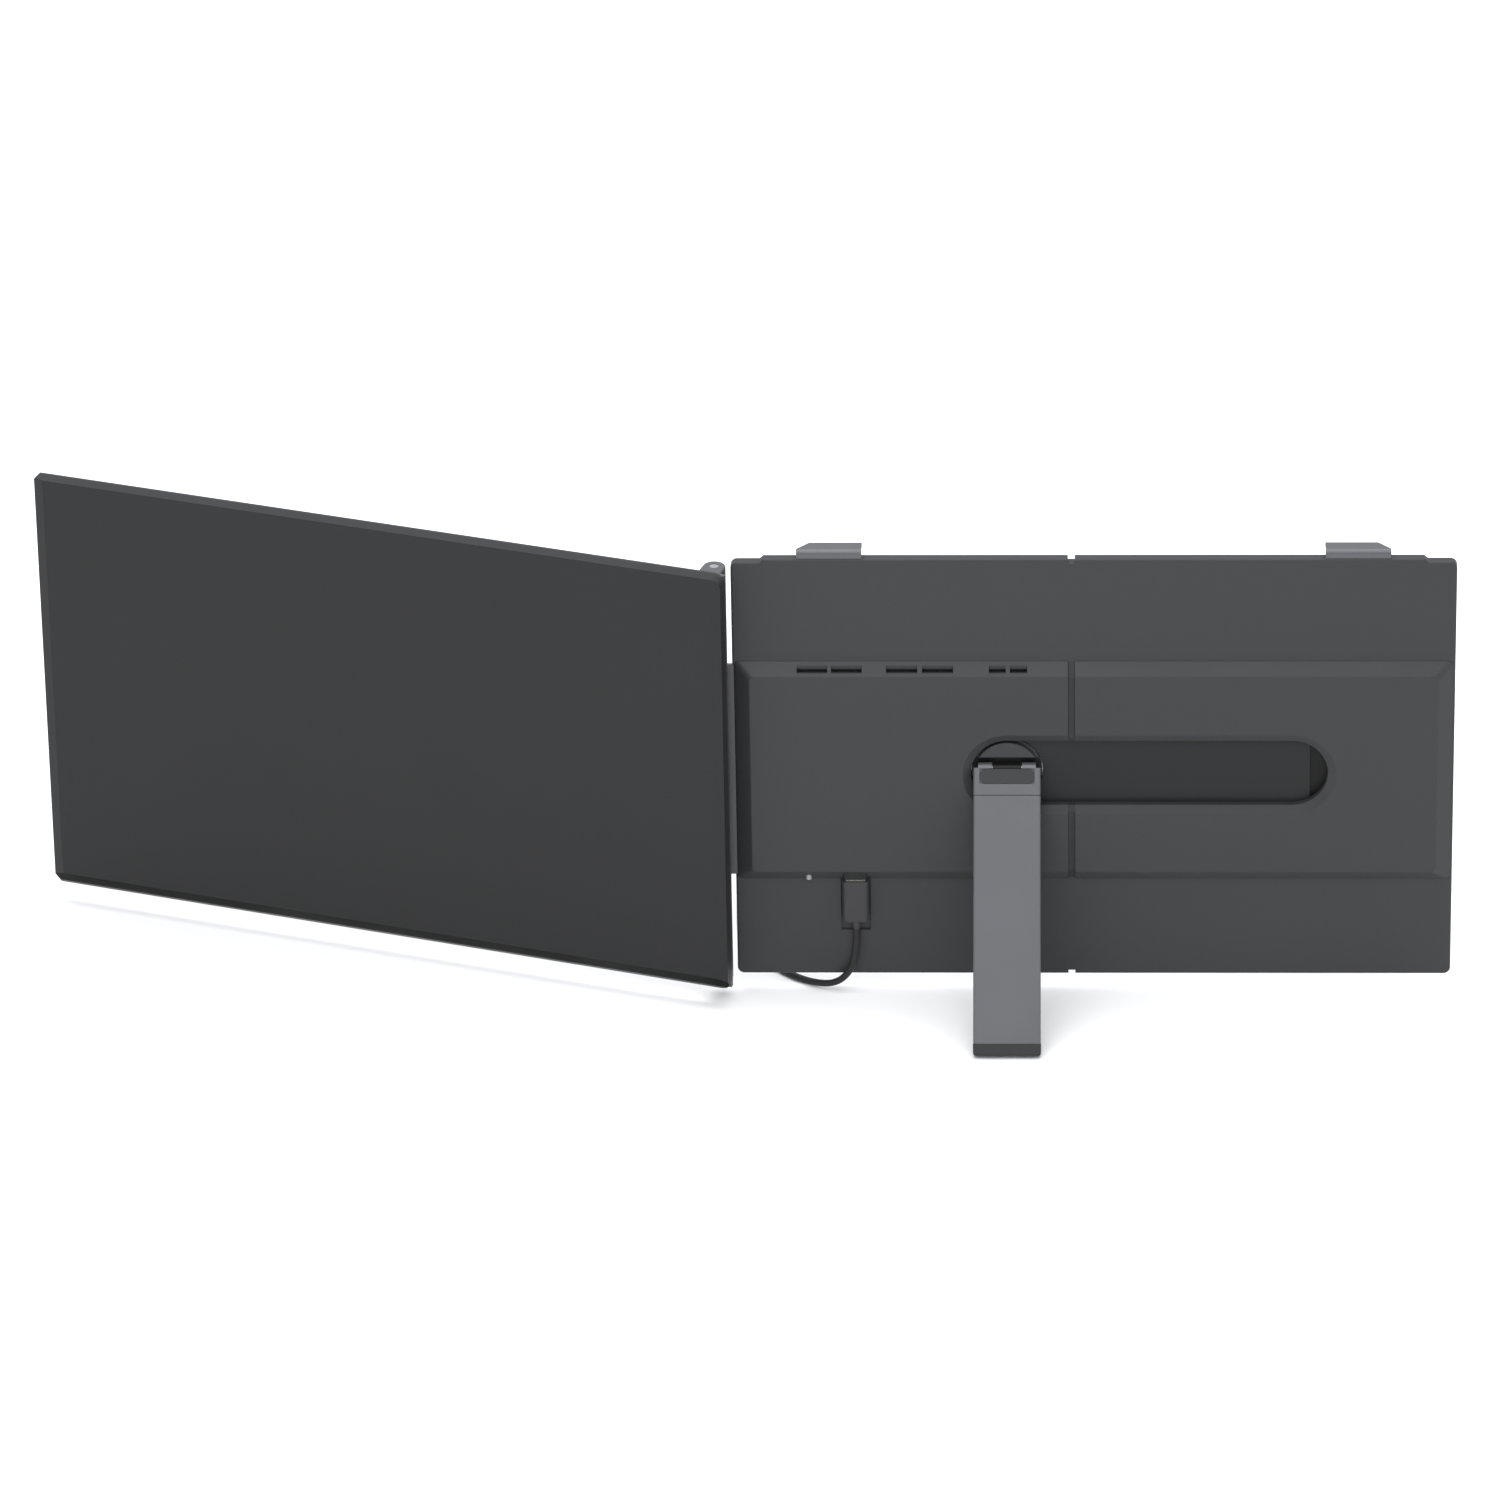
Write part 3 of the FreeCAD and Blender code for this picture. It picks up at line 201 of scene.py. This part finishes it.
FINISH = {
    "front_cover": "shell", "back_plate": "shell", "cover_screws": "screw", "front_pads": "rubber", "bracket_frame": "steel",
    "band_cover_left": "band", "band_cover_right": "band", "seam_strip": "seam", "leg_tray": "tray", "main_board": "board",
    "board_chips": "chip", "board_posts": "steel", "usb_c_receptacle": "contact", "led_lens": "led", "hinge_leaf": "hinge",
    "hinge_pin": "steel", "hinge_washers": "steel", "hinge_screws": "screw", "display_back_cover": "cover", "display_bezel": "bezel",
    "lcd_panel": "screen", "lcd_backlight": "film", "driver_board": "board", "display_flex": "flex", "hinge_spine": "hinge",
    "spine_screws": "screw", "power_button": "shell", "hub_disc": "hub", "port_shroud": "dark", "hub_retainer": "steel", "leg_pin": "steel",
    "leg_end_block": "leg", "leg_plate": "leg", "leg_pad": "pad", "leg_foot": "foot", "clip_hook_left": "clip", "clip_hook_right": "clip",
    "clip_pad_left": "rubber", "clip_pad_right": "rubber", "clip_spring_left": "steel", "clip_spring_right": "steel",
    "plug_housing": "plug", "plug_tip": "contact", "plug_relief": "plug", "cord_lead": "cable", "cord_tail": "cable", "cord_coil": "cable",
    "cord_tie": "rubber", "far_relief": "plug", "far_plug_housing": "plug", "far_plug_tip": "contact",
}
for name, key in FINISH.items():
    o = nodes[name]
    if not o.material_slots:
        o.data.materials.append(M[key])
    for s in o.material_slots:
        s.material = M[key]


# ---------------------------------------------------------------- pieces
MM = 0.001


def mesh_object(name, verts, faces, mat, smooth=True):
    me = bpy.data.meshes.new(name)
    me.from_pydata([tuple(c * MM for c in v) for v in verts], [], faces)
    me.validate()
    o = bpy.data.objects.new(name, me)
    bpy.context.scene.collection.objects.link(o)
    me.materials.append(mat)
    for p in me.polygons:
        p.use_smooth = smooth
    return o


def helix(name, r, wire, turns, z0, z1, x, y, mat, per=14):
    """A coil spring along Z with a hook's straight end at both ends."""
    cu = bpy.data.curves.new(name, "CURVE")
    cu.dimensions = "3D"
    cu.bevel_depth = wire * MM
    cu.bevel_resolution = 3
    cu.use_fill_caps = True
    sp = cu.splines.new("NURBS")
    pts = [(x, y, z0)]
    steps = turns * per
    for i in range(steps + 1):
        a = 2 * math.pi * i / per
        z = z0 + 1.2 + (z1 - z0 - 2.4) * i / steps
        pts.append((x + r * math.cos(a), y + r * math.sin(a), z))
    pts.append((x, y, z1))
    sp.points.add(len(pts) - 1)
    for p, q in zip(sp.points, pts):
        p.co = (q[0] * MM, q[1] * MM, q[2] * MM, 1.0)
    sp.order_u = 3
    sp.use_endpoint_u = True
    o = bpy.data.objects.new(name, cu)
    bpy.context.scene.collection.objects.link(o)
    cu.materials.append(mat)
    return o


# the cable: one smooth line from the plug, over the table, through its coil and out to the free connector
CR = 1.5
FLOOR = -109.3 + CR
ROUTE = [
    (-104.0, -6.8, -77.0), (-104.0, -6.8, -88.0), (-106.6, -8.0, -98.0), (-113.6, -6.9, -105.2), (-124.5, -0.6, FLOOR),
    (-135.0, 7.6, FLOOR), (-145.5, 20.0, FLOOR), (-154.5, 39.0, FLOOR), (-159.0, 66.0, FLOOR), (-153.0, 93.0, FLOOR),
    (-135.0, 111.0, FLOOR), (-112.0, 117.6, FLOOR), (-97.0, 118.9, FLOOR),
]
TAIL = [(-97.0, 77.1, FLOOR + 3.05), (-108.0, 76.2, FLOOR + 2.2), (-118.0, 71.5, FLOOR), (-125.5, 63.5, FLOOR)]
KX, KY = -96.0, 98.0
per = 18
swell = 1.0 / math.cos(math.pi / per)
coil_pts = []
total = int(4.5 * per)
for i in range(1, total):
    turn = i / per
    a = math.radians(90.0 - 360.0 * turn)
    if turn <= 2.0:
        r, z = 20.9 - 3.1 * turn, 0.0
    elif turn <= 2.5:
        f = (turn - 2.0) / 0.5
        r = 14.7 - 1.0 * math.sin(math.pi * f)
        z = 3.05 * (0.5 - 0.5 * math.cos(math.pi * f))
    else:
        r, z = 14.7 + 3.1 * (turn - 2.5), 3.05
    coil_pts.append((KX + r * swell * math.cos(a), KY + r * swell * math.sin(a), FLOOR + z))
line = ROUTE + coil_pts + TAIL
cu = bpy.data.curves.new("cable", "CURVE")
cu.dimensions = "3D"
cu.bevel_depth = CR * MM
cu.bevel_resolution = 6
cu.resolution_u = 8
cu.use_fill_caps = True
sp = cu.splines.new("NURBS")
sp.points.add(len(line) - 1)
for p, q in zip(sp.points, line):
    p.co = (q[0] * MM, q[1] * MM, q[2] * MM, 1.0)
sp.order_u = 3
sp.use_endpoint_u = True
cable = bpy.data.objects.new("cable", cu)
bpy.context.scene.collection.objects.link(cable)
cu.materials.append(M["cable"])
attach(cable, "root")
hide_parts("cord_lead", "cord_coil", "cord_tail")

# strap round the coil
tie = bpy.data.meshes.new("cable_strap")
bm = bmesh.new()
inner_r, outer_r, half_w, th = 12.0, 22.6, 2.6, 0.45
zc, hh = FLOOR + 1.52, 3.0
loop = []
for i in range(28):
    a = 2 * math.pi * i / 28
    cx_, cz_ = math.cos(a), math.sin(a)
    # a flattened loop: half width along the radius, half height upwards
    rx = (outer_r - inner_r) / 2
    k = (abs(cx_) ** 4 + abs(cz_) ** 4) ** -0.25
    loop.append((cx_ * k, cz_ * k))
rings = []
for yy in (-half_w, half_w):
    for extra in (0.0, th):
        ring = []
        for u, v in loop:
            x = KX + (inner_r + outer_r) / 2 + u * ((outer_r - inner_r) / 2 - 0.2 + extra)
            z = max(zc + v * (hh + extra), FLOOR - CR)
            ring.append(bm.verts.new((x * MM, (KY + yy) * MM, z * MM)))
        rings.append(ring)
a0, a1, b0, b1 = rings
count = len(loop)
for i in range(count):
    j = (i + 1) % count
    bm.faces.new((a1[i], b1[i], b1[j], a1[j]))
    bm.faces.new((a0[j], b0[j], b0[i], a0[i]))
    bm.faces.new((a0[i], a1[i], a1[j], a0[j]))
    bm.faces.new((b1[i], b0[i], b0[j], b1[j]))
bm.normal_update()
bm.to_mesh(tie)
bm.free()
strap = bpy.data.objects.new("cable_strap", tie)
bpy.context.scene.collection.objects.link(strap)
tie.materials.append(M["rubber"])
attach(strap, "root")
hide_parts("cord_tie")

# tension springs of the clips
for side, x in (("left", -114.1), ("right", 114.1)):
    sp_o = helix("spring_coils_" + side, 0.62, 0.16, 20, 48.5, 61.9, x, -2.4, M["steel"])
    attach(sp_o, "root")
    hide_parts("clip_spring_" + side)

# ---------------------------------------------------------------- floor, light, camera
floor_z = -0.1094
me = bpy.data.meshes.new("floor")
size = 6.0
me.from_pydata([(-size, -size, floor_z), (size, -size, floor_z), (size, size, floor_z), (-size, size, floor_z)], [], [(0, 1, 2, 3)])
floor = bpy.data.objects.new("floor", me)
bpy.context.scene.collection.objects.link(floor)
fm = bpy.data.materials.new("pale_floor")
fm.use_nodes = True
fb = next(x for x in fm.node_tree.nodes if x.type == "BSDF_PRINCIPLED")
fb.inputs["Base Color"].default_value = (0.93, 0.93, 0.93, 1.0)
fb.inputs["Roughness"].default_value = 0.7
fb.inputs["Specular IOR Level"].default_value = 0.2
me.materials.append(fm)

bpy.context.scene.view_settings.view_transform = "Standard"
world = bpy.data.worlds.new("studio")
bpy.context.scene.world = world
world.use_nodes = True
bg = next(x for x in world.node_tree.nodes if x.type == "BACKGROUND")
bg.inputs["Color"].default_value = (0.96, 0.97, 1.0, 1.0)
bg.inputs["Strength"].default_value = 1.0


def area(name, loc, aim, sx, sy, power, colour=(1, 1, 1)):
    d = bpy.data.lights.new(name, "AREA")
    d.shape = "RECTANGLE"
    d.size, d.size_y = sx, sy
    d.energy = power
    d.color = colour
    o = bpy.data.objects.new(name, d)
    o.location = loc
    o.rotation_euler = (Vector(aim) - Vector(loc)).to_track_quat("-Z", "Y").to_euler()
    bpy.context.scene.collection.objects.link(o)


area("top_soft", (-0.1, 0.25, 1.9), (-0.1, 0.0, 0.0), 2.2, 1.6, 34.0)
area("key_front", (-0.25, -0.75, 0.95), (-0.15, 0.0, 0.02), 1.1, 0.4, 6.0)
area("fill_right", (1.7, -1.2, 0.9), (0.0, 0.0, 0.0), 1.0, 1.2, 4.0)

cam_d = bpy.data.cameras.new("camera")
cam_d.lens = 240.21
cam_d.sensor_width = 36.0
cam_d.sensor_fit = "HORIZONTAL"
cam_d.clip_start = 0.05
cam_d.clip_end = 50.0
cam = bpy.data.objects.new("camera", cam_d)
bpy.context.scene.collection.objects.link(cam)
pitch, yaw, roll = math.radians(27.44), math.radians(2.284), math.radians(-1.048)
fw = Vector((-math.sin(yaw) * math.cos(pitch), math.cos(yaw) * math.cos(pitch), -math.sin(pitch)))
rt = Vector((math.cos(yaw), math.sin(yaw), 0.0))
up = rt.cross(fw)
r2 = rt * math.cos(roll) + up * math.sin(roll)
u2 = -rt * math.sin(roll) + up * math.cos(roll)
loc = Vector((0.004692, -3.87093, 2.018883))
cam.matrix_world = Matrix((
    (r2.x, u2.x, -fw.x, loc.x),
    (r2.y, u2.y, -fw.y, loc.y),
    (r2.z, u2.z, -fw.z, loc.z),
    (0.0, 0.0, 0.0, 1.0),
))
bpy.context.scene.camera = cam
